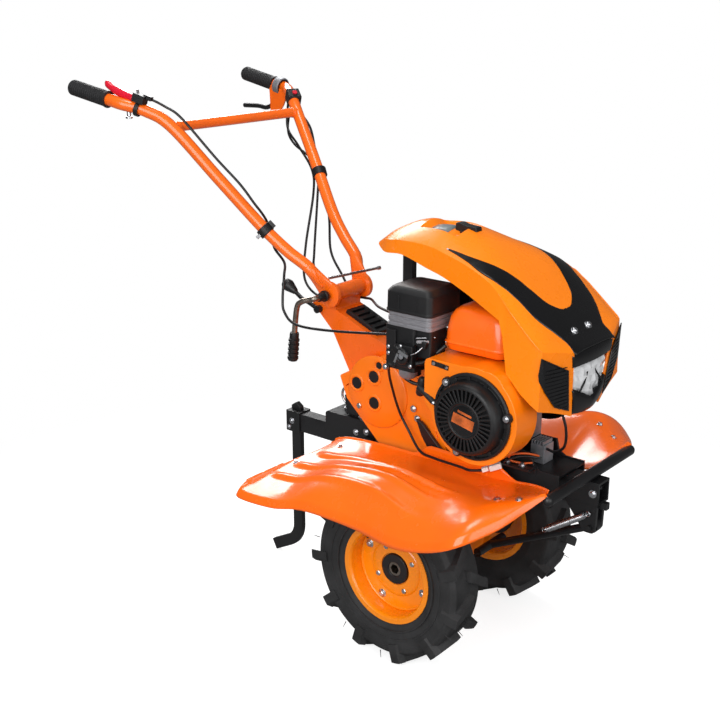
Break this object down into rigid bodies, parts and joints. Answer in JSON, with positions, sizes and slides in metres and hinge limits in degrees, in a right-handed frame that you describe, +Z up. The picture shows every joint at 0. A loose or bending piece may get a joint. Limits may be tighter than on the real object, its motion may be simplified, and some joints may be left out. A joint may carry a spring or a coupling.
{
  "type": "power tiller",
  "caption": "Walk-behind power tiller: petrol engine under a hood, lugged drive wheels, fenders, depth stake, folding stand and a tilting handlebar with grips and levers.",
  "frame": {"origin": "on the ground under the middle of the machine's length, on its centre plane", "axes": "+X forwards, +Y to the operator's left, +Z up"},
  "size_m": [1.312, 0.7018, 1.2322],
  "materials": {
    "orange_casting": "glossy orange paint on a cast case",
    "orange_paint": "glossy orange enamel",
    "orange_plastic": "glossy moulded plastic",
    "black_paint": "semi-gloss black enamel",
    "black_plastic": "moulded, slightly textured",
    "black_gloss": "glossy moulded plastic",
    "engine_metal": "cast, slightly dull",
    "bright_steel": "plated",
    "dark_steel": "bare, oiled",
    "lamp_lens": "clear moulded lens",
    "grip_rubber": "moulded, matt",
    "cable_sheath": "smooth sheath",
    "red_plastic": "glossy moulded plastic",
    "tyre_rubber": "matt tyre rubber"
  },
  "bodies": {
    "chassis": {"gearbox": "orange_casting", "gearbox_plugs": "black_plastic", "axle": "dark_steel", "handle_column": "orange_paint", "shift_gate": "black_plastic", "gear_lever": "black_plastic", "clamp_lever": "dark_steel", "front_frame": "black_paint", "front_tube": "black_paint", "fender_bar": "black_paint", "engine_block": "engine_metal", "fan_shroud": "orange_paint", "recoil_starter": "black_gloss", "starter_handle": "black_plastic", "fuel_tank": "orange_plastic", "fuel_cap": "black_plastic", "filter_cover": "black_plastic", "filter_band": "bright_steel", "carburettor_box": "black_plastic", "muffler": "black_paint", "belt_guard": "black_paint", "hood": "orange_plastic", "hood_nose": "black_gloss", "headlight": "lamp_lens", "hood_vents": "black_gloss", "hood_post": "black_paint", "fender_right": "orange_paint", "fender_left": "orange_paint", "fender_stay": "black_paint", "rear_hitch": "black_paint", "hitch_pin": "bright_steel", "drawbar": "black_paint", "depth_stake": "black_paint"},
    "handlebar": {"handlebar": "orange_paint", "grip_right": "grip_rubber", "grip_left": "grip_rubber", "clutch_lever": "red_plastic", "reverse_lever": "black_plastic", "throttle_cable": "cable_sheath", "left_cables": "cable_sheath"},
    "wheel_right": {"tyre_right": "tyre_rubber", "rim_right": "orange_paint", "hub_right": "black_paint"},
    "wheel_left": {"tyre_left": "tyre_rubber", "rim_left": "orange_paint", "hub_left": "black_paint"},
    "stand": {"stand": "black_paint", "stand_spring": "bright_steel"}
  },
  "joints": [
    {"name": "wheel_right_spin", "type": "hinge", "parent": "chassis", "child": "wheel_right", "pos_m": [0.256, -0.196, 0.205], "axis": [0, 1, 0], "continuous": true},
    {"name": "wheel_left_spin", "type": "hinge", "parent": "chassis", "child": "wheel_left", "pos_m": [0.256, 0.196, 0.205], "axis": [0, 1, 0], "continuous": true},
    {"name": "handlebar_tilt", "type": "hinge", "parent": "chassis", "child": "handlebar", "pos_m": [-0.053, 0, 0.749], "axis": [0, 1, 0], "range_deg": [-25, 10], "deforming": ["throttle_cable", "left_cables"]},
    {"name": "stand_swing", "type": "hinge", "parent": "chassis", "child": "stand", "pos_m": [0.626, 0, 0.3487], "axis": [0, -1, 0], "range_deg": [0, 78], "deforming": ["stand_spring"]}
  ]
}
